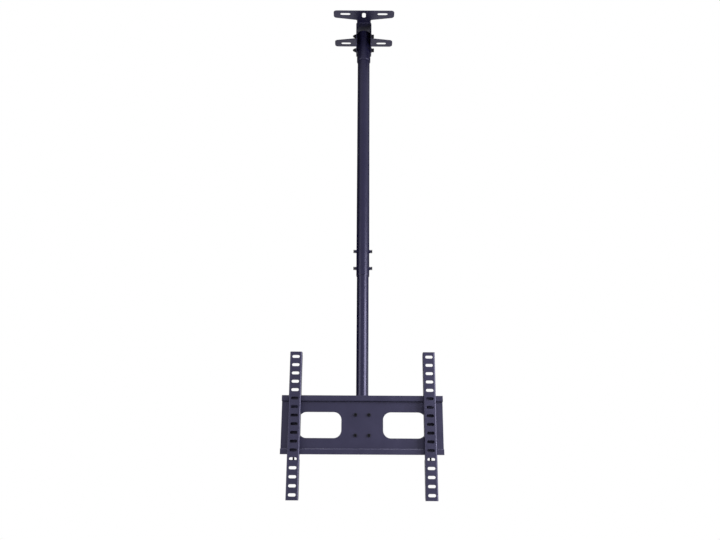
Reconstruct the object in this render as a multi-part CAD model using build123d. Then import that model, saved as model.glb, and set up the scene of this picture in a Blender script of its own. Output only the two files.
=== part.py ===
from build123d import *
import os
from collections import namedtuple
from math import cos, hypot, radians, sin

# Ceiling plate, an H cut from flat steel
plate_width = 212.0
plate_depth = 210.0
plate_thickness = 3.0
wing_tip_depth = 37.5
wing_root_depth = 50.5
web_width = 49.0
wing_corner_radius = 11.0
wing_root_radius = 5.0
plate_edge_break = 0.6
ceiling_slot_length = 36.0
ceiling_slot_width = 13.0
ceiling_slot_edge = 23.0
centre_slot_length = 29.0
centre_slot_width = 13.0

# Ceiling bracket, a folded U whose ears are shaped like fans
bracket_sheet = 3.0
bracket_bend = 2.0
slope_swing = 30.0
slope_lock_radius = 58.0
ear_side_margin = 6.7
ear_foot_margin = 12.0
ear_corner_radius = 8.0

# Pole socket and the two tubes of the pole
upper_pole_diameter = 42.0
upper_pole_wall = 1.8
upper_pole_length = 913.0
socket_wall = 2.55
socket_length = 113.0
socket_rise = 8.0
lower_pole_wall = 2.0
lower_pole_shown = 401.0
lower_pole_inserted = 297.0
pole_end_break = 0.5
clamp_spacing = 58.0
clamp_edge = 27.0
clamp_nut = 5.0
clamp_head = 4.0
clamp_gap = 0.6

# Swivel at the foot of the pole
plug_length = 24.0
disc_thickness = 1.5
disc_diameter = 46.0
yoke_sheet = 4.0
yoke_bend = 3.0
yoke_inner_width = 60.0
yoke_depth = 50.0
yoke_foot_radius = 15.0
tilt_drop = 76.5

# Tilt bracket, a folded U around the yoke
tilt_sheet = 3.0
tilt_bend = 2.0
tilt_reach = 50.0
tilt_height = 96.0
tilt_up = 5.0
tilt_down = 20.0
tilt_lock_radius = 38.0
tilt_ear_radius = 20.0
tilt_slot_margin = 10.6
rail_screw_spacing_x = 40.0
rail_screw_spacing_z = 60.0

# Rail that the two arms hang on
rail_length = 480.0
rail_height = 140.0
rail_sheet = 2.5
rail_bend = 2.0
rail_lip_reach = 12.0
rail_lip_rise = 16.0
rail_window_length = 126.0
rail_window_height = 76.0
rail_window_spacing = 250.0

# Arms, channels with a ladder of slots that hook over the rail
arm_spacing = 400.0
arm_width = 36.0
arm_depth = 27.0
arm_sheet = 2.0
arm_bend = 2.0
arm_corner_radius = 14.0
arm_end = 15.0
ladder_pitch = 25.0
ladder_steps = 8
ladder_slot_length = 22.0
ladder_slot_width = 8.6
hook_drop = 13.0
hook_lift = 1.5
lock_tab_sheet = 3.0
lock_tab_depth = 14.0
lock_tip_gap = 2.0

# Clearances
pole_clearance = 0.2
socket_clearance = 0.2
socket_side_clearance = 0.3
swing_clearance = 1.0
clamp_tip_clearance = 0.3
thread_clearance = 0.06
plug_clearance = 0.1
tilt_side_clearance = 0.3
arm_back_clearance = 0.5
hook_clearance = 0.6
hook_seat_clearance = 0.2
cut_overrun = 1.0

# Fasteners
Fastener = namedtuple("Fastener", "shank hole head_diameter head flats nut washer_diameter washer key")
m6 = Fastener(5.9, 6.5, 10.2, 6.0, 10.0, 5.6, 12.0, 1.4, 5.0)
m8 = Fastener(7.9, 8.6, 13.0, 8.0, 13.0, 6.8, 16.0, 1.6, 6.0)
m12 = Fastener(11.8, 12.6, 18.0, 8.0, 18.0, 11.0, 28.0, 2.5, 10.0)
thread_proud = 1.0
ear_bolt_proud = 3.2

# Heights and widths that follow from the sizes above
socket_diameter = upper_pole_diameter + 2 * (socket_clearance + socket_wall)
socket_corner = hypot(socket_rise, socket_diameter / 2)
pivot_z = -(plate_thickness + bracket_sheet + swing_clearance + socket_corner)
slope_lock_z = pivot_z - slope_lock_radius
bracket_inner = socket_diameter + 2 * socket_side_clearance
ear_outer = bracket_inner / 2 + bracket_sheet
ear_radius = slope_lock_radius + ear_foot_margin
ear_half_depth = slope_lock_radius * sin(radians(slope_swing)) + m8.hole / 2 + ear_side_margin
pole_top_z = pivot_z + socket_rise
upper_pole_radius = upper_pole_diameter / 2
upper_pole_foot_z = pole_top_z - upper_pole_length
clamp_heights = (upper_pole_foot_z + clamp_edge + clamp_spacing, upper_pole_foot_z + clamp_edge)
lower_pole_radius = upper_pole_radius - upper_pole_wall - pole_clearance
lower_pole_bore = lower_pole_radius - lower_pole_wall
lower_pole_top_z = upper_pole_foot_z + lower_pole_inserted
lower_pole_foot_z = upper_pole_foot_z - lower_pole_shown
yoke_top_z = lower_pole_foot_z - disc_thickness
yoke_outer = yoke_inner_width / 2 + yoke_sheet
swivel_head_z = yoke_top_z - yoke_sheet - disc_thickness - m12.washer
tilt_z = yoke_top_z - tilt_drop
tilt_lock_z = tilt_z - tilt_lock_radius
tilt_ear_inner = yoke_outer + tilt_side_clearance
tilt_ear_outer = tilt_ear_inner + tilt_sheet
rail_back_y = -tilt_reach
rail_front_y = rail_back_y - rail_sheet
rail_middle_y = rail_back_y - rail_sheet / 2
lip_middle_y = rail_middle_y - rail_lip_reach
lip_front_y = lip_middle_y - rail_sheet / 2
lip_back_y = lip_middle_y + rail_sheet / 2
lip_top = rail_height / 2 + rail_lip_rise
shelf_top = rail_height / 2 + rail_sheet / 2
shelf_foot = rail_height / 2 - rail_sheet / 2
arm_back_y = rail_front_y - arm_back_clearance
arm_front_y = arm_back_y - arm_depth
arm_length = 2 * (ladder_pitch * ladder_steps + arm_end)
hook_lift_space = hook_drop + hook_lift
lock_screw_y = (lip_back_y + rail_front_y) / 2
lock_tab_top = -(lip_top + hook_lift_space + hook_lift)
lock_head_z = lock_tab_top - lock_tab_sheet
lock_screw_length = -shelf_top - lock_tip_gap - lock_head_z


def span(x0, x1, y0, y1):
    return Pos((x0 + x1) / 2, (y0 + y1) / 2) * Rectangle(x1 - x0, y1 - y0)


def hull(*sketches):
    return make_hull([edge for sketch in sketches for edge in sketch.edges()])


def folded(points, sheet, bend):
    return trace(FilletPolyline(*points, radius=bend + sheet / 2), line_width=sheet)


def through_x(sketch, reach):
    return extrude(Plane.YZ * sketch, reach, both=True)


def through_y(sketch, y0, y1):
    return Pos(0, y1 + cut_overrun, 0) * extrude(Plane.XZ * sketch, y1 - y0 + 2 * cut_overrun)


def through_z(sketch, z0, z1):
    return Pos(0, 0, z0 - cut_overrun) * extrude(sketch, z1 - z0 + 2 * cut_overrun)


def facing(at, direction):
    return Plane(origin=at, z_dir=direction).location


def bore(at, direction, diameter, length):
    return facing(at, direction) * Cylinder(diameter / 2, length)


def standing(radius, height):
    return Cylinder(radius, height, align=(Align.CENTER, Align.CENTER, Align.MIN))


def top_edge(solid):
    return solid.edges().filter_by(GeomType.CIRCLE).sort_by(Axis.Z)[-1]


def hexagon(flats, height):
    return extrude(RegularPolygon(flats / 2, 6, major_radius=False), height)


def shank(size, length):
    return Rot(180, 0, 0) * standing(size.shank / 2, length)


def cap_screw(size, length):
    head = standing(size.head_diameter / 2, size.head)
    head = chamfer(top_edge(head), size.head_diameter * 0.08)
    socket = Pos(0, 0, size.head * 0.45) * hexagon(size.key, size.head)
    return head - socket + shank(size, length)


def hex_screw(size, head, length):
    return hexagon(size.flats, head) + shank(size, length)


def lock_nut(size):
    body = hexagon(size.flats, size.nut * 0.66) + standing(size.flats * 0.4, size.nut)
    return body - Cylinder(size.shank / 2 + thread_clearance, 4 * size.nut)


def washer(size):
    return standing(size.washer_diameter / 2, size.washer) - Cylinder(size.hole / 2, 4 * size.washer)


def group(solids):
    return Compound(children=[solid for part in solids for solid in part.solids()])


def pipe(radius, wall, top_z, foot_z):
    outline = Circle(radius) - Circle(radius - wall)
    tube = Pos(0, 0, foot_z) * extrude(outline, top_z - foot_z)
    rims = [edge for edge in tube.edges().filter_by(GeomType.CIRCLE) if edge.radius > radius - wall / 2]
    return chamfer(rims, pole_end_break)


def ceiling_plate():
    half_width = plate_width / 2
    half_depth = plate_depth / 2
    tip = half_depth - wing_tip_depth
    root = half_depth - wing_root_depth
    quarter = [(half_width, half_depth), (half_width, tip), (web_width / 2, root)]
    corners = [(x, y) for x, y in quarter]
    corners += [(x, -y) for x, y in reversed(quarter)]
    corners += [(-x, -y) for x, y in quarter]
    corners += [(-x, y) for x, y in reversed(quarter)]
    outline = make_face(Polyline(*corners, close=True))
    tips = [v for v in outline.vertices() if abs(v.X) > web_width]
    outline = fillet(tips, wing_corner_radius)
    roots = [v for v in outline.vertices() if abs(abs(v.X) - web_width / 2) < 0.01]
    outline = fillet(roots, wing_root_radius)
    slab = Pos(0, 0, -plate_thickness) * extrude(outline, plate_thickness)
    slab = chamfer(slab.edges().filter_by(Plane.XY), plate_edge_break)
    slot_x = half_width - ceiling_slot_edge - ceiling_slot_length / 2
    slot_y = half_depth - wing_tip_depth / 2
    centre_y = half_depth - wing_root_depth / 2
    for side in (-1, 1):
        for end in (-1, 1):
            slot = Pos(side * slot_x, end * slot_y) * SlotOverall(ceiling_slot_length, ceiling_slot_width)
            slab -= through_z(slot, -plate_thickness, 0)
        slot = Pos(0, side * centre_y) * SlotOverall(centre_slot_length, centre_slot_width, 90)
        slab -= through_z(slot, -plate_thickness, 0)
    return slab


def ceiling_bracket():
    middle = bracket_inner / 2 + bracket_sheet / 2
    web_z = -plate_thickness - bracket_sheet / 2
    foot_z = pivot_z - ear_radius
    points = [(-middle, foot_z), (-middle, web_z), (middle, web_z), (middle, foot_z)]
    channel = extrude(Plane.XZ * folded(points, bracket_sheet, bracket_bend), ear_half_depth, both=True)
    fan = span(-ear_half_depth, ear_half_depth, foot_z, pivot_z) & Pos(0, pivot_z) * Circle(ear_radius)
    fan = fillet(fan.vertices().group_by(Axis.Y)[0], ear_corner_radius)
    fan += span(-ear_half_depth, ear_half_depth, pivot_z, -plate_thickness)
    channel &= through_x(fan, ear_outer)
    sweep = CenterArc((0, pivot_z), slope_lock_radius, -90 - slope_swing, 2 * slope_swing)
    channel -= through_x(SlotArc(sweep, m8.hole), ear_outer)
    channel -= bore((0, 0, pivot_z), (1, 0, 0), m8.hole, 4 * ear_outer)
    return channel


def ear_bolt(z):
    head_x = ear_outer + m8.washer
    end_x = ear_outer + m8.washer + m8.nut + ear_bolt_proud
    return facing((head_x, 0, z), (1, 0, 0)) * cap_screw(m8, head_x + end_x)


def ear_washers(z):
    right = facing((ear_outer, 0, z), (1, 0, 0)) * washer(m8)
    left = facing((-ear_outer, 0, z), (-1, 0, 0)) * washer(m8)
    return group([right, left])


def ear_nut(z):
    return facing((-ear_outer - m8.washer, 0, z), (-1, 0, 0)) * lock_nut(m8)


def pole_socket():
    sleeve = pipe(socket_diameter / 2, socket_wall, pole_top_z, pole_top_z - socket_length)
    for z in (pivot_z, slope_lock_z):
        sleeve -= bore((0, 0, z), (1, 0, 0), m8.hole, 2 * socket_diameter)
    return sleeve


def upper_pole():
    tube = pipe(upper_pole_radius, upper_pole_wall, pole_top_z, upper_pole_foot_z)
    for z in (pivot_z, slope_lock_z):
        tube -= bore((0, 0, z), (1, 0, 0), m8.hole, 2 * upper_pole_diameter)
    wall_middle = upper_pole_radius - upper_pole_wall / 2
    for z in clamp_heights:
        for side in (-1, 1):
            welded = facing((0, 0, z), (side, 0, 0)) * hexagon(m6.flats, upper_pole_radius + clamp_nut)
            tube += welded - Pos(0, 0, z) * Cylinder(wall_middle, 2 * m6.flats)
        tube -= bore((0, 0, z), (1, 0, 0), m6.shank + 2 * thread_clearance, 2 * upper_pole_diameter)
    return tube


def clamp_screws():
    head_x = upper_pole_radius + clamp_nut + clamp_gap
    length = head_x - lower_pole_radius - clamp_tip_clearance
    screws = []
    for z in clamp_heights:
        for side in (-1, 1):
            screws.append(facing((side * head_x, 0, z), (side, 0, 0)) * hex_screw(m6, clamp_head, length))
    return group(screws)


def lower_pole():
    return pipe(lower_pole_radius, lower_pole_wall, lower_pole_top_z, lower_pole_foot_z)


def pole_plug():
    plug = standing(lower_pole_bore - plug_clearance, plug_length)
    plug -= Cylinder(m12.shank / 2 + thread_clearance, 4 * plug_length)
    return Pos(0, 0, lower_pole_foot_z) * plug


def friction_discs():
    ring = standing(disc_diameter / 2, disc_thickness) - Cylinder(m12.hole / 2, 4 * disc_thickness)
    upper = Pos(0, 0, yoke_top_z) * ring
    lower = Pos(0, 0, yoke_top_z - yoke_sheet - disc_thickness) * ring
    return group([upper, lower])


def swivel_washer():
    return Pos(0, 0, swivel_head_z) * washer(m12)


def swivel_bolt():
    length = lower_pole_foot_z + plug_length - swivel_head_z - thread_proud
    return facing((0, 0, swivel_head_z), (0, 0, -1)) * hex_screw(m12, m12.head, length)


def swivel_yoke():
    middle = yoke_inner_width / 2 + yoke_sheet / 2
    web_z = yoke_top_z - yoke_sheet / 2
    foot_z = tilt_lock_z - yoke_foot_radius
    points = [(-middle, foot_z), (-middle, web_z), (middle, web_z), (middle, foot_z)]
    channel = extrude(Plane.XZ * folded(points, yoke_sheet, yoke_bend), yoke_depth / 2, both=True)
    shoulder = span(-yoke_depth / 2, yoke_depth / 2, yoke_top_z - tilt_drop / 2, yoke_top_z)
    outline = hull(shoulder, Pos(0, tilt_lock_z) * Circle(yoke_foot_radius))
    channel &= through_x(outline, yoke_outer)
    channel -= bore((0, 0, yoke_top_z), (0, 0, 1), m12.hole, 4 * yoke_sheet)
    for z in (tilt_z, tilt_lock_z):
        channel -= bore((0, 0, z), (1, 0, 0), m8.hole, 4 * yoke_outer)
    return channel


def tilt_bolts(z):
    head_x = tilt_ear_outer + m8.washer
    length = head_x - yoke_inner_width / 2 + m8.nut + thread_proud
    bolts = [facing((side * head_x, 0, z), (side, 0, 0)) * cap_screw(m8, length) for side in (-1, 1)]
    return group(bolts)


def tilt_washers():
    rings = []
    for z in (tilt_z, tilt_lock_z):
        for side in (-1, 1):
            rings.append(facing((side * tilt_ear_outer, 0, z), (side, 0, 0)) * washer(m8))
    return group(rings)


def tilt_nuts():
    nuts = []
    for z in (tilt_z, tilt_lock_z):
        for side in (-1, 1):
            nuts.append(facing((side * yoke_inner_width / 2, 0, z), (-side, 0, 0)) * lock_nut(m8))
    return group(nuts)


def tilt_bracket():
    middle = tilt_ear_inner + tilt_sheet / 2
    web_y = rail_back_y + tilt_sheet / 2
    points = [(-middle, tilt_reach), (-middle, web_y), (middle, web_y), (middle, tilt_reach)]
    section = folded(points, tilt_sheet, tilt_bend)
    channel = Pos(0, 0, tilt_z) * extrude(section, 2 * tilt_height, both=True)
    web = span(rail_back_y, rail_back_y + tilt_sheet, tilt_z - tilt_height / 2, tilt_z + tilt_height / 2)
    ends = []
    for turn in (-tilt_up, tilt_down):
        angle = radians(-90 - turn)
        at = Pos(tilt_lock_radius * cos(angle), tilt_z + tilt_lock_radius * sin(angle))
        ends.append(at * Circle(m8.hole / 2 + tilt_slot_margin))
    outline = hull(web, Pos(0, tilt_z) * Circle(tilt_ear_radius), *ends)
    channel &= through_x(outline, tilt_ear_outer)
    sweep = CenterArc((0, tilt_z), tilt_lock_radius, -90 - tilt_down, tilt_up + tilt_down)
    channel -= through_x(SlotArc(sweep, m8.hole), 2 * tilt_ear_outer)
    channel -= bore((0, 0, tilt_z), (1, 0, 0), m8.hole, 4 * tilt_ear_outer)
    for at in rail_screw_places():
        channel -= bore((at[0], rail_back_y, at[1]), (0, 1, 0), m6.hole, 4 * tilt_sheet)
    return channel


def rail_screw_places():
    places = []
    for side in (-1, 1):
        for end in (-1, 1):
            places.append((side * rail_screw_spacing_x / 2, tilt_z + end * rail_screw_spacing_z / 2))
    return places


def arm_rail():
    half = rail_height / 2
    points = [
        (lip_middle_y, tilt_z - lip_top),
        (lip_middle_y, tilt_z - half),
        (rail_middle_y, tilt_z - half),
        (rail_middle_y, tilt_z + half),
        (lip_middle_y, tilt_z + half),
        (lip_middle_y, tilt_z + lip_top),
    ]
    sheet = extrude(Plane.YZ * folded(points, rail_sheet, rail_bend), rail_length / 2, both=True)
    for side in (-1, 1):
        window = Pos(side * rail_window_spacing / 2, tilt_z) * RectangleRounded(
            rail_window_length, rail_window_height, rail_window_height * 0.3
        )
        sheet -= through_y(window, rail_front_y, rail_back_y)
    for at in rail_screw_places():
        sheet -= bore((at[0], rail_back_y, at[1]), (0, 1, 0), m6.hole, 4 * rail_sheet)
    return sheet


def rail_screws():
    length = rail_sheet + tilt_sheet + m6.nut + thread_proud
    screws = []
    for x, z in rail_screw_places():
        screws.append(facing((x, rail_front_y, z), (0, -1, 0)) * cap_screw(m6, length))
    return group(screws)


def rail_nuts():
    nuts = []
    for x, z in rail_screw_places():
        nuts.append(facing((x, rail_back_y + tilt_sheet, z), (0, 1, 0)) * lock_nut(m6))
    return group(nuts)


def arm(side):
    centre_x = side * arm_spacing / 2
    middle = arm_width / 2 - arm_sheet / 2
    face_y = arm_front_y + arm_sheet / 2
    points = [(-middle, arm_back_y), (-middle, face_y), (middle, face_y), (middle, arm_back_y)]
    channel = extrude(folded(points, arm_sheet, arm_bend), arm_length / 2, both=True)
    cheek = span(arm_front_y, arm_back_y, -arm_length / 2, arm_length / 2)
    cheek = fillet(cheek.vertices().group_by(Axis.X)[-1], arm_corner_radius)
    notch_y = lip_front_y - hook_clearance
    mouth_y = arm_back_y + arm_sheet
    cheek -= span(notch_y, mouth_y, shelf_foot - hook_lift_space, lip_top + hook_seat_clearance)
    prong_y = lip_back_y + hook_clearance
    cheek += span(prong_y, arm_back_y, lip_top - hook_drop, lip_top + hook_seat_clearance)
    cheek -= span(notch_y, mouth_y, -lip_top - hook_lift_space, -shelf_foot + rail_bend + hook_clearance)
    channel &= through_x(cheek, arm_width)
    for step in range(-ladder_steps, ladder_steps + 1):
        slot = Pos(0, step * ladder_pitch) * SlotOverall(ladder_slot_length, ladder_slot_width)
        channel -= through_y(slot, arm_front_y, arm_front_y + arm_sheet)
    tab = span(-middle, middle, arm_back_y - lock_tab_depth, arm_back_y)
    channel += Pos(0, 0, lock_head_z) * extrude(tab, lock_tab_sheet)
    thread = m6.shank + 2 * thread_clearance
    channel -= bore((0, lock_screw_y, lock_tab_top), (0, 0, 1), thread, 4 * lock_tab_sheet)
    return Pos(centre_x, 0, tilt_z) * channel


def arm_screw(side):
    at = (side * arm_spacing / 2, lock_screw_y, tilt_z + lock_head_z)
    return facing(at, (0, 0, -1)) * cap_screw(m6, lock_screw_length)


nodes = {
    "ceiling_plate": ceiling_plate(),
    "ceiling_bracket": ceiling_bracket(),
    "pivot_bolt": ear_bolt(pivot_z),
    "pivot_washers": ear_washers(pivot_z),
    "pivot_nut": ear_nut(pivot_z),
    "pole_socket": pole_socket(),
    "upper_pole": upper_pole(),
    "slope_bolt": ear_bolt(slope_lock_z),
    "slope_washers": ear_washers(slope_lock_z),
    "slope_nut": ear_nut(slope_lock_z),
    "clamp_screws": clamp_screws(),
    "lower_pole": lower_pole(),
    "pole_plug": pole_plug(),
    "friction_discs": friction_discs(),
    "swivel_washer": swivel_washer(),
    "swivel_bolt": swivel_bolt(),
    "swivel_yoke": swivel_yoke(),
    "tilt_pivot_bolts": tilt_bolts(tilt_z),
    "tilt_lock_bolts": tilt_bolts(tilt_lock_z),
    "tilt_washers": tilt_washers(),
    "tilt_nuts": tilt_nuts(),
    "tilt_bracket": tilt_bracket(),
    "arm_rail": arm_rail(),
    "rail_screws": rail_screws(),
    "rail_nuts": rail_nuts(),
    "left_arm": arm(-1),
    "left_arm_screw": arm_screw(-1),
    "right_arm": arm(1),
    "right_arm_screw": arm_screw(1),
}

os.makedirs("parts", exist_ok=True)
for name, shape in nodes.items():
    export_step(shape, os.path.join("parts", name + ".step"))
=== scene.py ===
import bmesh
import bpy
import math
from mathutils import Matrix, Vector


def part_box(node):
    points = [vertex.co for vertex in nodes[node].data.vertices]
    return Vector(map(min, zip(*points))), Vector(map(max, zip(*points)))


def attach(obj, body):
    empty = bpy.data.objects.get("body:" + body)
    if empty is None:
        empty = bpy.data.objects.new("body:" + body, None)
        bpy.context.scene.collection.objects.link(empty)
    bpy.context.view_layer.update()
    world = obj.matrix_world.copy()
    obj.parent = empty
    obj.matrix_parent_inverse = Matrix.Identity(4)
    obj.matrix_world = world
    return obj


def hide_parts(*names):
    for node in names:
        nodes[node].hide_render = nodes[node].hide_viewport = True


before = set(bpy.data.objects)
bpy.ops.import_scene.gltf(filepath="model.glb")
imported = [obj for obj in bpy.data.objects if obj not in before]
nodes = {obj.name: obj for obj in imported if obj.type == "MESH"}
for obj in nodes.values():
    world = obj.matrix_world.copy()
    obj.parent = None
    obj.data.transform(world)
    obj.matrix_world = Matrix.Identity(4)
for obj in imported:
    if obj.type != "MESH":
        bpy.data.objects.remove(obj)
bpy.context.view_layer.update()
bpy.ops.object.select_all(action="DESELECT")
print("frame loaded,", len(nodes), "nodes")

# camera, low in front of the pole and tipped up
view = {
    "place": (-0.009, -2.3278, -1.674),  # metres, ceiling at z = 0
    "pitchUp": 18.05,  # degrees
    "roll": 0.31,  # degrees
    "lens": 37.85,  # mm
    "sensor": 36.0,  # mm
    "farEnd": 60.0,  # metres
}


def addCamera():
    bpy.ops.object.camera_add(location=view["place"])
    camera = bpy.context.object
    camera.name = "photoCamera"
    turn = Matrix.Rotation(math.radians(90 + view["pitchUp"]), 4, "X")
    roll = Matrix.Rotation(math.radians(view["roll"]), 4, "Z")  # about the lens axis
    camera.matrix_world = Matrix.Translation(view["place"]) @ turn @ roll
    camera.data.sensor_fit = "HORIZONTAL"
    camera.data.sensor_width = view["sensor"]
    camera.data.lens = view["lens"]
    camera.data.clip_end = view["farEnd"]
    bpy.context.scene.camera = camera


addCamera()
print("camera set")

# shader groups that several finishes share
mixSockets = {"RGBA": (6, 7, 2), "FLOAT": (2, 3, 0)}  # a Mix node's two inputs and its output


def newGroup(name, inputs, outputs):
    group = bpy.data.node_groups.new(name, "ShaderNodeTree")
    for socketName, kind, value in inputs:
        socket = group.interface.new_socket(socketName, in_out="INPUT", socket_type="NodeSocket" + kind)
        socket.default_value = value
    for socketName, kind in outputs:
        group.interface.new_socket(socketName, in_out="OUTPUT", socket_type="NodeSocket" + kind)
    return group, group.nodes.new("NodeGroupInput"), group.nodes.new("NodeGroupOutput")


def addNoise(tree, detail):
    place = tree.nodes.new("ShaderNodeTexCoord")
    noise = tree.nodes.new("ShaderNodeTexNoise")
    noise.inputs["Detail"].default_value = detail
    tree.links.new(place.outputs["Object"], noise.inputs["Vector"])
    return noise


def addSpan(tree, source, span, result=(0, 1)):
    # stretches part of a value's range to the result's range
    stretch = tree.nodes.new("ShaderNodeMapRange")
    stretch.inputs["From Min"].default_value = span[0]
    stretch.inputs["From Max"].default_value = span[1]
    stretch.inputs["To Min"].default_value = result[0]
    stretch.inputs["To Max"].default_value = result[1]
    tree.links.new(source, stretch.inputs["Value"])
    return stretch


def addMath(tree, operation, first, second):
    worked = tree.nodes.new("ShaderNodeMath")
    worked.operation = operation
    tree.links.new(first, worked.inputs[0])
    tree.links.new(second, worked.inputs[1])
    return worked.outputs["Value"]


def addMix(tree, kind, share, first, second):
    mix = tree.nodes.new("ShaderNodeMix")
    mix.data_type = kind
    firstSocket, secondSocket, outSocket = mixSockets[kind]
    tree.links.new(share, mix.inputs["Factor"])
    tree.links.new(first, mix.inputs[firstSocket])
    tree.links.new(second, mix.inputs[secondSocket])
    return mix.outputs[outSocket]


powder = {
    "peelDetail": 2,
    "peelDepth": 0.0006,  # metres
    "cloudScale": 22,
    "cloudDetail": 5,
    "cloudSpan": (0.35, 0.65),
}


def makePowderSkin():
    group, given, result = newGroup(
        "powderSkin",
        [
            ("Paint", "Color", (0.01, 0.01, 0.02, 1)),
            ("Pale Paint", "Color", (0.02, 0.02, 0.03, 1)),
            ("Grain", "Float", 900.0),
            ("Low Roughness", "Float", 0.3),
            ("High Roughness", "Float", 0.4),
        ],
        [("Color", "Color"), ("Roughness", "Float"), ("Height", "Float")],
    )
    links = group.links
    peel = addNoise(group, powder["peelDetail"])  # orange peel of the melted powder
    links.new(given.outputs["Grain"], peel.inputs["Scale"])
    links.new(peel.outputs["Fac"], result.inputs["Height"])
    cloud = addNoise(group, powder["cloudDetail"])  # slow change of gloss and tone over the sheet
    cloud.inputs["Scale"].default_value = powder["cloudScale"]
    rough = addSpan(group, cloud.outputs["Fac"], powder["cloudSpan"])
    links.new(given.outputs["Low Roughness"], rough.inputs["To Min"])
    links.new(given.outputs["High Roughness"], rough.inputs["To Max"])
    links.new(rough.outputs["Result"], result.inputs["Roughness"])
    tone = addMix(group, "RGBA", cloud.outputs["Fac"], given.outputs["Paint"], given.outputs["Pale Paint"])
    links.new(tone, result.inputs["Color"])
    return group


wear = {
    "detail": 6,
    "breakUp": 0.7,  # roughness of the patches' noise
    "span": (0.46, 0.66),
    "polish": 0.85,  # roughness of rubbed paint, as a share of the smoothest paint's
}


def makeEdgeWear():
    # thin, rubbed paint in patches along the edges that a piece marks as worn
    group, given, result = newGroup(
        "edgeWear",
        [
            ("Color", "Color", (0.01, 0.01, 0.02, 1)),
            ("Rubbed", "Color", (0.1, 0.1, 0.11, 1)),
            ("Roughness", "Float", 0.4),
            ("Rubbed Roughness", "Float", 0.3),
            ("Patch", "Float", 240.0),
        ],
        [("Color", "Color"), ("Roughness", "Float")],
    )
    links = group.links
    patch = addNoise(group, wear["detail"])
    patch.inputs["Roughness"].default_value = wear["breakUp"]
    links.new(given.outputs["Patch"], patch.inputs["Scale"])
    spots = addSpan(group, patch.outputs["Fac"], wear["span"])
    edge = group.nodes.new("ShaderNodeAttribute")
    edge.attribute_name = "wornEdge"
    mask = addMath(group, "MULTIPLY", edge.outputs["Fac"], spots.outputs["Result"])
    tone = addMix(group, "RGBA", mask, given.outputs["Color"], given.outputs["Rubbed"])
    links.new(tone, result.inputs["Color"])
    sheen = addMix(group, "FLOAT", mask, given.outputs["Roughness"], given.outputs["Rubbed Roughness"])
    links.new(sheen, result.inputs["Roughness"])
    return group


powderSkin = makePowderSkin()
edgeWear = makeEdgeWear()

finishes = {
    "polePaint": {
        "paint": (0.0045, 0.0040, 0.017), "pale": (0.0060, 0.0055, 0.021), "tint": (0.70, 0.67, 1.0),
        "gloss": 0.46, "grain": 700, "rough": (0.26, 0.32), "bump": 0.025, "metal": 0.0,
        "rubbed": (0.09, 0.09, 0.10), "patch": 260,
    },
    "bracketPaint": {
        "paint": (0.0045, 0.0040, 0.015), "pale": (0.0070, 0.0065, 0.021), "tint": (0.70, 0.67, 1.0),
        "gloss": 0.65, "grain": 1100, "rough": (0.36, 0.46), "bump": 0.08, "metal": 0.0,
        "rubbed": (0.10, 0.10, 0.11), "patch": 220,
    },
    "weldPaint": {
        "paint": (0.0045, 0.0040, 0.015), "pale": (0.0070, 0.0065, 0.021), "tint": (0.70, 0.67, 1.0),
        "gloss": 0.55, "grain": 1500, "rough": (0.30, 0.40), "bump": 0.06, "metal": 0.0,
        "rubbed": (0.09, 0.09, 0.10), "patch": 300,
    },
    "boltBlack": {
        "paint": (0.0035, 0.0035, 0.0055), "pale": (0.0065, 0.0065, 0.009), "tint": (0.9, 0.9, 1.0),
        "gloss": 0.15, "grain": 1600, "rough": (0.36, 0.48), "bump": 0.05, "metal": 0.0,
        "rubbed": (0.14, 0.14, 0.145), "patch": 420,
    },
    "plainSteel": {
        "paint": (0.34, 0.34, 0.35), "pale": (0.42, 0.42, 0.43), "tint": (1.0, 1.0, 1.0),
        "gloss": 0.5, "grain": 1500, "rough": (0.30, 0.42), "bump": 0.05, "metal": 1.0,
        "rubbed": (0.55, 0.55, 0.56), "patch": 400,
    },
    "nylonBlack": {
        "paint": (0.012, 0.012, 0.014), "pale": (0.018, 0.018, 0.020), "tint": (1.0, 1.0, 1.0),
        "gloss": 0.4, "grain": 1300, "rough": (0.50, 0.60), "bump": 0.05, "metal": 0.0,
        "rubbed": (0.05, 0.05, 0.052), "patch": 500,
    },
}


def makeFinish(name):
    look = finishes[name]
    material = bpy.data.materials.new(name)
    material.use_nodes = True
    made, links = material.node_tree.nodes, material.node_tree.links
    shader = made["Principled BSDF"]
    skin = made.new("ShaderNodeGroup")
    skin.node_tree = powderSkin
    skin.inputs["Paint"].default_value = (*look["paint"], 1)
    skin.inputs["Pale Paint"].default_value = (*look["pale"], 1)
    skin.inputs["Grain"].default_value = look["grain"]
    skin.inputs["Low Roughness"].default_value = look["rough"][0]
    skin.inputs["High Roughness"].default_value = look["rough"][1]
    bump = made.new("ShaderNodeBump")
    bump.inputs["Strength"].default_value = look["bump"]
    bump.inputs["Distance"].default_value = powder["peelDepth"]
    links.new(skin.outputs["Height"], bump.inputs["Height"])
    worn = made.new("ShaderNodeGroup")
    worn.node_tree = edgeWear
    worn.inputs["Rubbed"].default_value = (*look["rubbed"], 1)
    worn.inputs["Rubbed Roughness"].default_value = look["rough"][0] * wear["polish"]
    worn.inputs["Patch"].default_value = look["patch"]
    links.new(skin.outputs["Color"], worn.inputs["Color"])
    links.new(skin.outputs["Roughness"], worn.inputs["Roughness"])
    links.new(worn.outputs["Color"], shader.inputs["Base Color"])
    links.new(worn.outputs["Roughness"], shader.inputs["Roughness"])
    links.new(bump.outputs["Normal"], shader.inputs["Normal"])
    shader.inputs["Metallic"].default_value = look["metal"]
    shader.inputs["Specular IOR Level"].default_value = look["gloss"]
    shader.inputs["Specular Tint"].default_value = (*look["tint"], 1)
    return material


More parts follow.
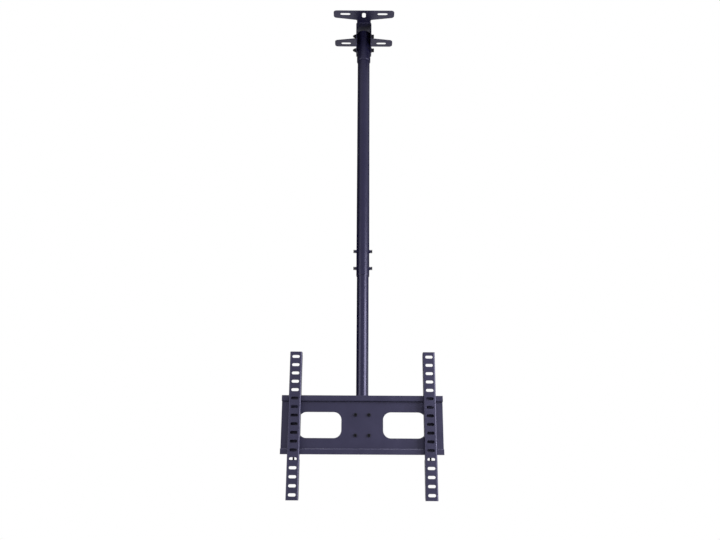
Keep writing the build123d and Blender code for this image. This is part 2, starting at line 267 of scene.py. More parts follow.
materials = {name: makeFinish(name) for name in finishes}
nodeFinish = {
    "upper_pole": "polePaint",
    "lower_pole": "polePaint",
    "pole_socket": "polePaint",
    "ceiling_plate": "bracketPaint",
    "ceiling_bracket": "bracketPaint",
    "swivel_yoke": "bracketPaint",
    "tilt_bracket": "bracketPaint",
    "arm_rail": "bracketPaint",
    "left_arm": "bracketPaint",
    "right_arm": "bracketPaint",
    "pole_plug": "plainSteel",
    "friction_discs": "nylonBlack",
}
for name, node in nodes.items():
    finish = materials[nodeFinish.get(name, "boltBlack")]
    if not node.material_slots:
        node.data.materials.append(finish)
    for slot in node.material_slots:
        slot.material = finish
print("finishes on", len(nodes), "nodes")

# helpers for working by hand, all sizes that they take are in mm
mergeGap = 0.000002  # metres
overrun = 1.0  # mm that a cutter goes past what it cuts
smoothAngle = {"turned": 32, "rounded": 40, "bead": 50}  # degrees


def onlyThis(piece):
    bpy.ops.object.select_all(action="DESELECT")
    bpy.context.view_layer.objects.active = piece
    piece.select_set(True)


def enterEdit(piece, kind="FACE", start="DESELECT"):
    onlyThis(piece)
    bpy.ops.object.mode_set(mode="EDIT")
    bpy.ops.mesh.select_mode(type=kind)
    bpy.ops.mesh.select_all(action=start)


def leaveEdit():
    bpy.ops.object.mode_set(mode="OBJECT")


def pickFaces(piece, wanted):
    cage = bmesh.from_edit_mesh(piece.data)
    for face in cage.faces:
        face.select_set(wanted(face.calc_center_median(), face.normal))
    bmesh.update_edit_mesh(piece.data)


def pickVerts(piece, wanted):
    cage = bmesh.from_edit_mesh(piece.data)
    for vert in cage.verts:
        vert.select_set(wanted(vert.co))
    cage.select_flush_mode()
    bmesh.update_edit_mesh(piece.data)


def applyModifier(piece, modifier):
    onlyThis(piece)
    bpy.ops.object.modifier_apply(modifier=modifier.name)


def combine(piece, tool, how):
    modifier = piece.modifiers.new("combine", "BOOLEAN")
    modifier.operation = how
    modifier.solver = "EXACT"
    modifier.object = tool
    applyModifier(piece, modifier)
    bpy.data.objects.remove(tool)


def settle(piece):
    onlyThis(piece)
    bpy.ops.object.transform_apply(location=True, rotation=True, scale=True)


def cleanNormals(piece):
    enterEdit(piece, "VERT", "SELECT")
    bpy.ops.mesh.remove_doubles(threshold=mergeGap)
    bpy.ops.mesh.normals_make_consistent(inside=False)
    leaveEdit()


def turned(profile, sides):
    # profile is (radius, height) pairs, bottom to top
    bpy.ops.object.select_all(action="DESELECT")
    radius, height = profile[0]
    bpy.ops.mesh.primitive_circle_add(
        vertices=sides, radius=radius / 1000, fill_type="NGON", location=(0, 0, height / 1000)
    )
    piece = bpy.context.object
    settle(piece)
    enterEdit(piece, "FACE", "SELECT")
    for nextRadius, nextHeight in profile[1:]:
        rise = (nextHeight - height) / 1000
        bpy.ops.mesh.extrude_region_move(TRANSFORM_OT_translate={"value": (0, 0, rise)})
        grow = nextRadius / radius
        bpy.ops.transform.resize(value=(grow, grow, 1), center_override=(0, 0, nextHeight / 1000))
        radius, height = nextRadius, nextHeight
    leaveEdit()
    cleanNormals(piece)
    return piece


def placed(piece, at, direction, spin=0):
    # turns the piece's +Z to the direction and moves its zero to the place
    turn = Vector((0, 0, 1)).rotation_difference(Vector(direction)).to_matrix().to_4x4()
    twist = Matrix.Rotation(math.radians(spin), 4, "Z")
    piece.matrix_world = Matrix.Translation(Vector(at) / 1000) @ turn @ twist
    settle(piece)
    return piece


def copied(piece):
    twin = piece.copy()
    twin.data = piece.data.copy()
    bpy.context.collection.objects.link(twin)
    return twin


def joined(name, parts):
    bpy.ops.object.select_all(action="DESELECT")
    for part in parts:
        part.select_set(True)
    bpy.context.view_layer.objects.active = parts[0]
    if len(parts) > 1:
        bpy.ops.object.join()
    whole = bpy.context.view_layer.objects.active
    whole.name = name
    whole.data.name = name
    return whole


def markWorn(piece, rubbed):
    # 1 at the points of a worn edge and 0 elsewhere, read by the edge wear
    mark = piece.data.attributes.new("wornEdge", "FLOAT", "POINT")
    mark.data.foreach_set("value", [float(rubbed(vert)) for vert in piece.data.vertices])


def finishPiece(piece, body, finish, slotName, angle, *replaced):
    piece.data.materials.clear()
    piece.data.materials.append(materials[finish])
    onlyThis(piece)
    bpy.ops.object.shade_smooth_by_angle(angle=math.radians(angle))
    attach(piece, body)
    if replaced:
        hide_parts(*replaced)


# places that the frame gives, in mm
def roundMm(value):
    return round(value, 3)


def corners(node):
    low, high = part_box(node)
    return [roundMm(at * 1000) for at in low], [roundMm(at * 1000) for at in high]


def middle(node):
    low, high = corners(node)
    return [roundMm((first + last) / 2) for first, last in zip(low, high)]


clampScrew = {
    "fromFoot": (85.0, 27.0),  # above the upper pole's foot
    "head": 4.0,
    "gap": 0.3,  # to the lower pole
}
poleFoot = corners("upper_pole")[0][2]
clampHeights = [roundMm(poleFoot + up) for up in clampScrew["fromFoot"]]
earHeights = [middle("pivot_washers")[2], middle("slope_washers")[2]]

# fastener sizes
m6 = {
    "diameter": 5.9, "pitch": 1.0, "steps": 24, "headRadius": 5.1,
    "head": 6.0, "key": 5.0, "flats": 10.0, "nut": 5.6,
}
m8 = {
    "diameter": 7.9, "pitch": 1.25, "steps": 28, "headRadius": 6.5,
    "head": 8.0, "key": 6.0, "flats": 13.0, "nut": 6.8,
}
m12 = {"diameter": 11.8, "pitch": 1.75, "steps": 32, "flats": 18.0, "head": 8.0}

threadForm = {
    "depth": 0.61,  # the first four are shares of the pitch
    "flat": 0.12,
    "slope": 0.32,
    "tip": 0.9,
    "spare": 0.02,  # mm that the blank is wider than the thread
}


def hexBlock(flats, low, high):
    bpy.ops.object.select_all(action="DESELECT")
    bpy.ops.mesh.primitive_cylinder_add(
        vertices=6,
        radius=flats / math.sqrt(3) / 1000,
        depth=(high - low) / 1000,
        location=(0, 0, (low + high) / 2000),
        rotation=(0, 0, math.radians(30)),  # flats face X
    )
    piece = bpy.context.object
    settle(piece)
    return piece


def threaded(size, low, high):
    # one pitch of the flank, wound up by a Screw modifier and trimmed to a chamfered blank
    outer, pitch = size["diameter"] / 2, size["pitch"]
    root = outer - threadForm["depth"] * pitch
    flat, slope = threadForm["flat"], threadForm["slope"]
    bpy.ops.object.select_all(action="DESELECT")
    bpy.ops.mesh.primitive_plane_add(size=0.001)
    piece = bpy.context.object
    enterEdit(piece, "VERT", "SELECT")
    bpy.ops.mesh.merge(type="CENTER")
    bpy.ops.transform.translate(value=(root / 1000, 0, (low - pitch) / 1000))
    flank = ((0, flat), (outer - root, slope), (0, flat), (root - outer, slope), (0, flat))
    for out, up in flank:
        step = (out / 1000, 0, up * pitch / 1000)
        bpy.ops.mesh.extrude_region_move(TRANSFORM_OT_translate={"value": step})
    leaveEdit()
    winding = piece.modifiers.new("winding", "SCREW")
    winding.axis = "Z"
    winding.angle = math.tau
    winding.screw_offset = pitch / 1000
    winding.iterations = math.ceil((high - low) / pitch) + 2  # a spare turn at each end
    winding.steps = winding.render_steps = size["steps"]
    winding.use_merge_vertices = True
    winding.merge_threshold = mergeGap
    applyModifier(piece, winding)
    enterEdit(piece, "VERT", "SELECT")
    bpy.ops.mesh.remove_doubles(threshold=mergeGap)
    bpy.ops.mesh.fill_holes(sides=0)
    bpy.ops.mesh.select_all(action="SELECT")
    bpy.ops.mesh.normals_make_consistent(inside=False)
    leaveEdit()
    tip = threadForm["tip"] * pitch
    wide = outer + threadForm["spare"]
    blank = turned([(outer - tip, low), (wide, low + tip), (wide, high)], size["steps"])
    combine(piece, blank, "INTERSECT")
    return piece


capHead = {
    "rim": 0.16,  # rounding of the upper edge, as a share of the radius
    "rimTurns": (30, 60, 90),  # degrees
    "footIn": 0.25,
    "footUp": 0.3,
    "sides": 60,
    "knurlFoot": 0.4,
    "knurlEdge": 0.07,
    "knurlDepth": 0.22,
    "upright": 0.1,  # largest rise of a side face's normal
    "keyFloor": 0.45,  # share of the height
    "join": 0.4,  # how far the thread runs into the head
}


def capScrew(size, length):
    # round head with a hexagon socket and a knurled side
    radius, tall = size["headRadius"], size["head"]
    rim = capHead["rim"] * radius
    profile = [(radius - capHead["footIn"], 0), (radius, capHead["footUp"]), (radius, tall - rim)]
    for step in capHead["rimTurns"]:
        turn = math.radians(step)
        profile.append((radius - rim * (1 - math.cos(turn)), tall - rim + rim * math.sin(turn)))
    head = turned(profile, capHead["sides"])
    faceTurn = 360 / capHead["sides"]

    def everyOther(centre, normal):
        place = round(math.degrees(math.atan2(centre.y, centre.x)) / faceTurn - 0.5)
        onSide = capHead["knurlFoot"] / 1000 < centre.z < (tall - rim) / 1000
        return onSide and abs(normal.z) < capHead["upright"] and place % 2 == 0

    enterEdit(head)
    pickFaces(head, everyOther)
    bpy.ops.mesh.inset(
        thickness=capHead["knurlEdge"] / 1000, depth=-capHead["knurlDepth"] / 1000, use_individual=True
    )
    leaveEdit()
    combine(head, hexBlock(size["key"], tall * capHead["keyFloor"], tall + overrun), "DIFFERENCE")
    combine(head, threaded(size, -length, capHead["join"]), "UNION")
    cleanNormals(head)
    return head


hexEnd = {
    "narrow": 0.475,  # radius of the flat end, as a share of the flats
    "slope": 30,  # degrees
    "clear": 0.1,  # past the corners
    "sides": 72,
}


def chamferedHex(flats, low, high, ends):
    # hexagon with its corners turned off, on one end or on both
    narrow, wide = flats * hexEnd["narrow"], flats / math.sqrt(3) + hexEnd["clear"]
    drop = (wide - narrow) * math.tan(math.radians(hexEnd["slope"]))
    profile = [(wide, low)]
    if ends == 2:
        profile = [(narrow, low), (wide, low + drop)]
    profile += [(wide, high - drop), (narrow, high)]
    block = hexBlock(flats, low, high)
    combine(block, turned(profile, hexEnd["sides"]), "INTERSECT")
    return block


washerFace = {
    "radius": 0.47,  # share of the flats
    "tall": 0.35,
    "top": 0.6,  # reaches into the hexagon
    "sides": 48,
    "join": 0.2,  # how far the thread runs into the head
}


def hexScrew(size, tall, length):
    # hexagon head on a low washer face
    head = chamferedHex(size["flats"], washerFace["tall"], tall, 1)
    radius = size["flats"] * washerFace["radius"]
    combine(head, turned([(radius, 0), (radius, washerFace["top"])], washerFace["sides"]), "UNION")
    combine(head, threaded(size, -length, washerFace["join"]), "UNION")
    enterEdit(head, "FACE", "SELECT")
    bpy.ops.mesh.quads_convert_to_tris()  # so that no sliver hides in the face under the head
    leaveEdit()
    cleanNormals(head)
    return head


nutForm = {
    "hexTop": 0.66,  # share of the height
    "collar": 0.4,  # radius, as a share of the flats
    "collarFoot": 0.4,  # share of the height
    "rolled": ((1.0, 0.82), (0.965, 0.93), (0.88, 1.0)),  # shares of the radius and of the height
    "collarSides": 48,
    "slack": 0.06,  # round the thread
    "holeSides": 40,
}


def lockNut(size):
    # hexagon below, rolled collar over a nylon ring on top
    tall, flats = size["nut"], size["flats"]
    nut = chamferedHex(flats, 0, tall * nutForm["hexTop"], 2)
    wide = flats * nutForm["collar"]
    collar = [(wide, tall * nutForm["collarFoot"])]
    collar += [(wide * out, tall * up) for out, up in nutForm["rolled"]]
    combine(nut, turned(collar, nutForm["collarSides"]), "UNION")
    hole = size["diameter"] / 2 + nutForm["slack"]
    drill = turned([(hole, -overrun), (hole, tall + overrun)], nutForm["holeSides"])
    combine(nut, drill, "DIFFERENCE")
    cleanNormals(nut)
    return nut


def finishFastener(name, parts, body, node):
    finishPiece(joined(name, parts), body, "boltBlack", "black_fastener", smoothAngle["turned"], node)


def addEarBolts():
    # through the ears of the ceiling bracket, heads on the right
    headX = corners("pivot_washers")[1][0]
    bolt = capScrew(m8, headX - corners("pivot_bolt")[0][0])
    nut = lockNut(m8)
    for name, z, body in zip(("pivot", "slope"), earHeights, ("ceiling", "upper_pole")):
        one = placed(copied(bolt), (headX, 0, z), (1, 0, 0))
        finishFastener(name + "BoltTurned", [one], body, name + "_bolt")
        one = placed(copied(nut), (-headX, 0, z), (-1, 0, 0))
        finishFastener(name + "NutTurned", [one], body, name + "_nut")
    bpy.data.objects.remove(bolt)
    bpy.data.objects.remove(nut)


def addClampScrews():
    # two on each side, they clamp the lower pole
    headX = corners("clamp_screws")[1][0] - clampScrew["head"]
    tipX = corners("lower_pole")[1][0] + clampScrew["gap"]
    screw = hexScrew(m6, clampScrew["head"], headX - tipX)
    made = []
    for z in clampHeights:
        for side in (-1, 1):
            made.append(placed(copied(screw), (side * headX, 0, z), (side, 0, 0)))
    bpy.data.objects.remove(screw)
    finishFastener("clampScrewsTurned", made, "upper_pole", "clamp_screws")


def addSwivelBolt():
    # the head turns on it
    headZ = corners("swivel_washer")[0][2]
    bolt = hexScrew(m12, m12["head"], roundMm(corners("swivel_bolt")[1][2] - headZ))
    placed(bolt, (0, 0, headZ), (0, 0, -1))
    finishFastener("swivelBoltTurned", [bolt], "lower_pole", "swivel_bolt")


tiltBolt = {"proud": 1.0}  # how far a tip stands out of its nut


def addTiltBolts():
    # heads outside and nuts inside the yoke
    headX = corners("tilt_washers")[1][0]
    nutX = corners("tilt_nuts")[1][0]
    bolt = capScrew(m8, headX - (nutX - m8["nut"] - tiltBolt["proud"]))
    nut = lockNut(m8)
    nuts = []
    for name, node in (("tiltPivot", "tilt_pivot_bolts"), ("tiltLock", "tilt_lock_bolts")):
        z = middle(node)[2]
        pair = []
        for side in (-1, 1):
            pair.append(placed(copied(bolt), (side * headX, 0, z), (side, 0, 0)))
            nuts.append(placed(copied(nut), (side * nutX, 0, z), (-side, 0, 0)))
        finishFastener(name + "BoltsTurned", pair, "swivel", node)
    finishFastener("tiltNutsTurned", nuts, "swivel", "tilt_nuts")
    bpy.data.objects.remove(bolt)
    bpy.data.objects.remove(nut)


def addRailScrews():
    # they hold the rail on the tilt bracket
    low, high = corners("rail_screws")
    frontY = low[1] + m6["head"]
    heights = (roundMm(low[2] + m6["headRadius"]), roundMm(high[2] - m6["headRadius"]))
    nutX = corners("rail_nuts")[1][0] - m6["flats"] / 2
    nutY = corners("rail_nuts")[0][1]
    screw = capScrew(m6, roundMm(high[1] - frontY))
    nut = lockNut(m6)
    screws, nuts = [], []
    for side in (-1, 1):
        for z in heights:
            screws.append(placed(copied(screw), (side * nutX, frontY, z), (0, -1, 0)))
            nuts.append(placed(copied(nut), (side * nutX, nutY, z), (0, 1, 0), 30))  # flats face X
    bpy.data.objects.remove(screw)
    bpy.data.objects.remove(nut)
    finishFastener("railScrewsTurned", screws, "tilt_frame", "rail_screws")
    finishFastener("railNutsTurned", nuts, "tilt_frame", "rail_nuts")


def addArmScrews():
    # one under each arm, it locks the arm on the rail
    low, high = corners("left_arm_screw")
    headZ = roundMm(low[2] + m6["head"])
    screw = capScrew(m6, roundMm(high[2] - headZ))
    for name in ("left", "right"):
        at = (middle(name + "_arm")[0], middle(name + "_arm_screw")[1], headZ)
        one = placed(copied(screw), at, (0, 0, -1))
        finishFastener(name + "ArmScrewTurned", [one], name + "_arm", name + "_arm_screw")
    bpy.data.objects.remove(screw)


addEarBolts()
addClampScrews()
addSwivelBolt()
addTiltBolts()
addRailScrews()
addArmScrews()
print("fasteners turned")

# tubes, rounder than the solids and with broken rims
tubes = {
    "upperPoleTube": {
        "node": "upper_pole", "body": "upper_pole", "outer": 21.0, "bore": 19.2, "rim": 0.5,
        "clampHole": 3.0, "earHole": 4.3,
    },
    "lowerPoleTube": {
        "node": "lower_pole", "body": "lower_pole", "outer": 19.0, "bore": 17.0, "rim": 0.5,
    },
    "poleSocketTube": {
        "node": "pole_socket", "body": "upper_pole", "outer": 23.75, "bore": 21.2, "rim": 0.6,
        "earHole": 4.3,
    },
}
tubeForm = {
    "sides": 96,
    "rimCorner": 0.3,  # middle point of the rounded rim, as a share of it
    "rimRing": 1.5,  # from the rim to the next ring of edges
    "holeRing": 5.0,  # from a hole to the next ring of edges
    "drillReach": 60.0,
    "drillSides": 40,
    "nutFoot": 20.1,  # welded nuts start in the wall
}


def addTube(name):
    look = tubes[name]
    outer, bore, rim = look["outer"], look["bore"], look["rim"]
    lowCorner, highCorner = corners(look["node"])
    low, high = lowCorner[2], highCorner[2]
    holes = []
    if "clampHole" in look:
        holes += [(look["clampHole"], z) for z in clampHeights]
    if "earHole" in look:
        holes += [(look["earHole"], z) for z in earHeights]
    # rings of edges that keep the long faces straight near rims and holes
    rings = {low + rim + tubeForm["rimRing"], high - rim - tubeForm["rimRing"]}
    for radius, z in holes:
        rings |= {z - radius - tubeForm["holeRing"], z + radius + tubeForm["holeRing"]}
    rings = sorted(z for z in rings if low + rim < z < high - rim)
    corner = rim * tubeForm["rimCorner"]
    profile = [(outer - rim, low), (outer - corner, low + corner), (outer, low + rim)]
    profile += [(outer, z) for z in rings]
    profile += [(outer, high - rim), (outer - corner, high - corner), (outer - rim, high)]
    tube = turned(profile, tubeForm["sides"])
    inside = [(bore + rim, low - overrun), (bore + rim, low), (bore, low + rim)]
    inside += [(bore, z) for z in rings]
    inside += [(bore, high - rim), (bore + rim, high), (bore + rim, high + overrun)]
    combine(tube, turned(inside, tubeForm["sides"]), "DIFFERENCE")
    if "clampHole" in look:
        nut = chamferedHex(m6["flats"], tubeForm["nutFoot"], highCorner[0], 1)
        for z in clampHeights:
            for side in (-1, 1):
                combine(tube, placed(copied(nut), (0, 0, z), (side, 0, 0)), "UNION")
        bpy.data.objects.remove(nut)
    reach = tubeForm["drillReach"]
    for radius, z in holes:
        drill = turned([(radius, -reach), (radius, reach)], tubeForm["drillSides"])
        combine(tube, placed(drill, (0, 0, z), (1, 0, 0)), "DIFFERENCE")
    cleanNormals(tube)
    markWorn(tube, lambda vert: not low + rim / 2 < vert.co.z * 1000 < high - rim / 2)
    tube = joined(name, [tube])
    finishPiece(tube, look["body"], "polePaint", "black_paint", smoothAngle["turned"], look["node"])


for name in tubes:
    addTube(name)
print("tubes drawn")

# pressed sheets and punched rings, copied from the solids with their cut edges rounded over
sheets = {
    "ceilingPlateSheet": {"node": "ceiling_plate", "body": "ceiling", "edge": 0.3},
    "ceilingBracketSheet": {"node": "ceiling_bracket", "body": "ceiling", "edge": 0.45},
    "swivelYokeSheet": {"node": "swivel_yoke", "body": "swivel", "edge": 0.5},
    "tiltBracketSheet": {"node": "tilt_bracket", "body": "tilt_frame", "edge": 0.45},
    "armRailSheet": {"node": "arm_rail", "body": "tilt_frame", "edge": 0.4},
    "leftArmSheet": {"node": "left_arm", "body": "left_arm", "edge": 0.35},
    "rightArmSheet": {"node": "right_arm", "body": "right_arm", "edge": 0.35},
}
punched = {
    "pivotWashersPunched": {"node": "pivot_washers", "body": "ceiling", "edge": 0.25},
    "slopeWashersPunched": {"node": "slope_washers", "body": "upper_pole", "edge": 0.25},
    "tiltWashersPunched": {"node": "tilt_washers", "body": "swivel", "edge": 0.25},
    "swivelWasherPunched": {"node": "swivel_washer", "body": "lower_pole", "edge": 0.3},
    "frictionDiscsMoulded": {"node": "friction_discs", "body": "lower_pole", "edge": 0.3},
}
edgeRound = {
    "merge": 0.2,  # mm, takes out the shortest steps too
    "flatten": 0.5,  # degrees between faces that are one
    "segments": 2,
    "sharp": 35,  # degrees, edges from there on are rounded
    "weight": 60,  # of the large faces in the normals
}


def addRounded(name, look, finish, slotName):
    source = nodes[look["node"]]
    piece = bpy.data.objects.new(name, source.data.copy())
    bpy.context.collection.objects.link(piece)
    onlyThis(piece)
    bpy.ops.mesh.customdata_custom_splitnormals_clear()
    enterEdit(piece, "VERT", "SELECT")
    bpy.ops.mesh.remove_doubles(threshold=edgeRound["merge"] / 1000)
    bpy.ops.mesh.dissolve_limited(angle_limit=math.radians(edgeRound["flatten"]))
    leaveEdit()
    rounding = piece.modifiers.new("rounding", "BEVEL")
    rounding.width = look["edge"] / 1000
    rounding.segments = edgeRound["segments"]
    rounding.limit_method = "ANGLE"
    rounding.angle_limit = math.radians(edgeRound["sharp"])
    rounding.use_clamp_overlap = False
    rounding.material = 1  # tells the rounded faces from the flat ones
    piece.data.materials.append(None)
    applyModifier(piece, rounding)
    flatFaces = [face for face in piece.data.polygons if face.material_index == 0]
    flatPoints = {point for face in flatFaces for point in face.vertices}
    markWorn(piece, lambda vert: vert.index not in flatPoints)
    finishPiece(piece, look["body"], finish, slotName, smoothAngle["rounded"], look["node"])
    evening = piece.modifiers.new("evening", "WEIGHTED_NORMAL")
    evening.keep_sharp = True
    evening.weight = edgeRound["weight"]
    applyModifier(piece, evening)
    print(name, len(piece.data.polygons), "faces")


for name, look in sheets.items():
    addRounded(name, look, "bracketPaint", "black_paint")
for name, look in punched.items():
    finish = nodeFinish.get(look["node"], "boltBlack")
    addRounded(name, look, finish, "black_nylon" if finish == "nylonBlack" else "black_fastener")
print("sheets and rings rounded")

# weld beads, laid in dabs
beadForm = {
    "tip": 0.35,  # the first three are shares of the bead's radius
    "shoulder": 0.8,
    "valley": 0.88,
    "leastDabs": 3,
    "crown": 0.45,  # share of a dab
    "sides": 14,
    "crescent": ((-0.3, 0.25), (0.45, 0.3)),  # from that share of the radius on, by that share of a dab
}


def straightBead(length, radius, dab):
    tip, shoulder = radius * beadForm["tip"], radius * beadForm["shoulder"]
    run = length - 2 * shoulder
    count = max(beadForm["leastDabs"], round(run / dab))
    step = run / count
    profile = [(tip, 0), (shoulder, tip)]
    for place in range(count):
        foot = shoulder + place * step
        profile += [(radius * beadForm["valley"], foot), (radius, foot + step * beadForm["crown"])]
    profile += [(shoulder, length - tip), (tip, length)]
    bead = turned(profile, beadForm["sides"])
    for inner, share in beadForm["crescent"]:  # each dab is a crescent, led by its crown
        edgeX = inner * radius / 1000
        enterEdit(bead, "VERT")
        pickVerts(bead, lambda at: at.x > edgeX and radius < at.z * 1000 < length - radius)
        bpy.ops.transform.translate(value=(0, 0, share * step / 1000))
        leaveEdit()
    return bead


def finishWeld(name, parts, body):
    finishPiece(joined(name, parts), body, "weldPaint", "black_paint", smoothAngle["bead"])


bracketWeld = {
    "radius": 1.8, "length": 68.0, "inset": 1.75, "lift": 0.1,  # along both sides
    "endRadius": 1.6, "endLength": 40.0, "endOut": 0.8, "endDrop": 0.8,  # across both ends
    "dab": 1.7,
}


def addBracketWelds():
    wide, deep, top = corners("ceiling_bracket")[1]
    sideBead = straightBead(bracketWeld["length"], bracketWeld["radius"], bracketWeld["dab"])
    endBead = straightBead(bracketWeld["endLength"], bracketWeld["endRadius"], bracketWeld["dab"])
    sideX, sideZ = wide - bracketWeld["inset"], top + bracketWeld["lift"]
    endY, endZ = deep + bracketWeld["endOut"], top - bracketWeld["endDrop"]
    made = []
    for side in (-1, 1):
        at = (side * sideX, -bracketWeld["length"] / 2, sideZ)
        made.append(placed(copied(sideBead), at, (0, 1, 0), 0 if side > 0 else 180))
        at = (-bracketWeld["endLength"] / 2, side * endY, endZ)
        made.append(placed(copied(endBead), at, (1, 0, 0)))
    bpy.data.objects.remove(sideBead)
    bpy.data.objects.remove(endBead)
    finishWeld("bracketWelds", made, "ceiling")


socketWeld = {"ring": 21.6, "radius": 2.3, "drop": 0.539, "dabs": 40, "ripple": 0.35}


def addSocketWeld():
    # round the socket's foot
    z = corners("pole_socket")[0][2] - socketWeld["drop"]
    rings = socketWeld["dabs"] * 2
    bpy.ops.object.select_all(action="DESELECT")
    bpy.ops.mesh.primitive_circle_add(
        vertices=beadForm["sides"],
        radius=socketWeld["radius"] / 1000,
        fill_type="NOTHING",
        location=(socketWeld["ring"] / 1000, 0, z / 1000),
        rotation=(math.radians(90), 0, 0),
    )
    bead = bpy.context.object
    settle(bead)
    enterEdit(bead, "VERT", "SELECT")
    bpy.ops.mesh.spin(steps=rings, angle=math.tau, center=(0, 0, 0), axis=(0, 0, 1))
    leaveEdit()
    cleanNormals(bead)
    enterEdit(bead, "VERT")
    pickVerts(bead, lambda at: round(math.atan2(at.y, at.x) / math.tau * rings) % 2 == 0)
    bpy.ops.transform.shrink_fatten(value=-socketWeld["ripple"] / 1000)
    leaveEdit()
    cleanNormals(bead)
    finishWeld("socketWeld", [bead], "upper_pole")


tabWeld = {"radius": 1.1, "length": 11.0, "dab": 1.3, "inset": 2.4, "back": 2.0, "drop": 0.239}


def addTabWelds():
    # on both sides of the lock tab in each arm
    bead = straightBead(tabWeld["length"], tabWeld["radius"], tabWeld["dab"])
    for name in ("left", "right"):
        low, high = corners(name + "_arm")
        y = high[1] - tabWeld["back"]
        z = roundMm(corners(name + "_arm_screw")[0][2] + m6["head"] - tabWeld["drop"])
        pair = []
        for x in (low[0] + tabWeld["inset"], high[0] - tabWeld["inset"]):
            pair.append(placed(copied(bead), (x, y, z), (0, -1, 0)))
        finishWeld(name + "TabWelds", pair, name + "_arm")
    bpy.data.objects.remove(bead)


addBracketWelds()
addSocketWeld()
addTabWelds()
print("welds laid")

# floor, world, lights and the grey cards that edge the black paint, in metres
studio = {
    "floorZ": -2.6,
    "floorSize": 40.0,
    "floorTone": 0.86,
    "floorRough": 0.8,
    "floorGloss": 0.1,
    "floorWhite": 0.78,  # share of plain white near the object, the rest takes the shadow
    "floorFade": (3.0, 8.0),  # from there to there it goes to all white
    "ambient": 0.32,
    "softboxes": [
        # place, size (width, height), power, what it looks at
        ((-1.62, -1.18, -0.98), (1.2, 1.3), 13.0, (0, 0, -0.98)),
        ((1.62, -1.18, -1.0), (1.2, 1.3), 66.0, (0, 0, -1.0)),
        ((0.0, 0.3, 3.0), (4.0, 4.0), 250.0, (0, 0.3, -2.6)),  # overhead, lights the floor
    ],
    "cards": [
        # place, size (width, height), what it faces, level at foot and at top
        ((-1.2, 0.62, 0.65), (2.95, 3.9), (0, 0, 0.65), 0.0, 0.42),
        ((1.188, 1.386, 0.925), (2.80, 3.35), (0, 0, 0.925), 0.05, 0.55),
        ((0.0, 0.065, 0.004), (0.5, 0.48), (0, 0.065, -1), 0.08, 0.08),  # over the ceiling plate
    ],
    "cardFade": (-0.2, 2.0),  # heights of the foot's and the top's level
}


def backgroundRays(tree):
    # rays that see the plain white background: camera, gloss and glass
    path = tree.nodes.new("ShaderNodeLightPath")
    seen = addMath(tree, "MAXIMUM", path.outputs["Is Camera Ray"], path.outputs["Is Glossy Ray"])
    return addMath(tree, "MAXIMUM", seen, path.outputs["Is Transmission Ray"])


def addFloor():
    bpy.ops.object.select_all(action="DESELECT")
    bpy.ops.mesh.primitive_plane_add(size=studio["floorSize"], location=(0, 0, studio["floorZ"]))
    floor = bpy.context.object
    floor.name = "studioFloor"
    settle(floor)
    material = bpy.data.materials.new("floorWhite")
    material.use_nodes = True
    tree = material.node_tree
    made, links = tree.nodes, tree.links
    shader = made["Principled BSDF"]
    shader.inputs["Base Color"].default_value = (studio["floorTone"],) * 3 + (1,)
    shader.inputs["Roughness"].default_value = studio["floorRough"]
    shader.inputs["Specular IOR Level"].default_value = studio["floorGloss"]
    white = made.new("ShaderNodeEmission")
    place = made.new("ShaderNodeTexCoord")
    away = made.new("ShaderNodeVectorMath")
    away.operation = "LENGTH"
    links.new(place.outputs["Object"], away.inputs[0])
    spread = addSpan(tree, away.outputs["Value"], studio["floorFade"], (studio["floorWhite"], 1.0))
    mix = made.new("ShaderNodeMixShader")
    links.new(addMath(tree, "MULTIPLY", backgroundRays(tree), spread.outputs["Result"]), mix.inputs["Fac"])
    links.new(shader.outputs["BSDF"], mix.inputs[1])
    links.new(white.outputs["Emission"], mix.inputs[2])
    links.new(mix.outputs["Shader"], made["Material Output"].inputs["Surface"])
    floor.data.materials.append(material)


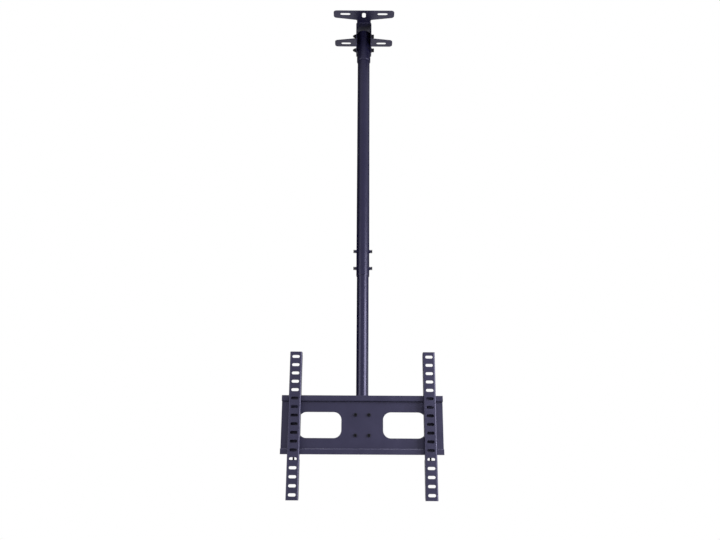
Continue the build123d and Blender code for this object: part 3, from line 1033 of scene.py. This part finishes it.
def addWorld():
    world = bpy.data.worlds.new("studioWorld")
    bpy.context.scene.world = world
    world.use_nodes = True
    tree = world.node_tree
    sky = tree.nodes["Background"]
    sky.inputs["Color"].default_value = (1, 1, 1, 1)
    level = addSpan(tree, backgroundRays(tree), (0, 1), (studio["ambient"], 1.0))  # soft fill for the rest
    tree.links.new(level.outputs["Result"], sky.inputs["Strength"])


def addLights():
    for number, (place, size, power, target) in enumerate(studio["softboxes"]):
        bpy.ops.object.light_add(type="AREA", location=place)
        lamp = bpy.context.object
        lamp.name = "softbox%d" % number
        lamp.data.shape = "RECTANGLE"
        lamp.data.size, lamp.data.size_y = size
        lamp.data.energy = power
        lamp.visible_camera = False
        aim = Vector(target) - Vector(place)
        lamp.rotation_euler = aim.to_track_quat("-Z", "Y").to_euler()


def cardMaterial(number, foot, top):
    # graded from foot to top
    material = bpy.data.materials.new("greyCard%d" % number)
    material.use_nodes = True
    tree = material.node_tree
    made, links = tree.nodes, tree.links
    made.remove(made["Principled BSDF"])
    place = made.new("ShaderNodeTexCoord")
    split = made.new("ShaderNodeSeparateXYZ")
    links.new(place.outputs["Object"], split.inputs["Vector"])
    grade = addSpan(tree, split.outputs["Z"], studio["cardFade"], (foot, top))
    glow = made.new("ShaderNodeEmission")
    links.new(grade.outputs["Result"], glow.inputs["Strength"])
    links.new(glow.outputs["Emission"], made["Material Output"].inputs["Surface"])
    return material


def addCards():
    for number, (place, size, target, foot, top) in enumerate(studio["cards"]):
        bpy.ops.object.select_all(action="DESELECT")
        bpy.ops.mesh.primitive_plane_add(size=1)
        card = bpy.context.object
        card.name = "greyCard%d" % number
        aim = (Vector(target) - Vector(place)).to_track_quat("Z", "Y").to_matrix().to_4x4()
        card.matrix_world = Matrix.Translation(place) @ aim @ Matrix.Diagonal((*size, 1, 1))
        settle(card)
        card.data.materials.append(cardMaterial(number, foot, top))
        card.visible_camera = False  # only gloss sees it
        card.visible_diffuse = False
        card.visible_shadow = False


addFloor()
addWorld()
addLights()
addCards()
bpy.context.scene.view_settings.view_transform = "Standard"
print("studio set")
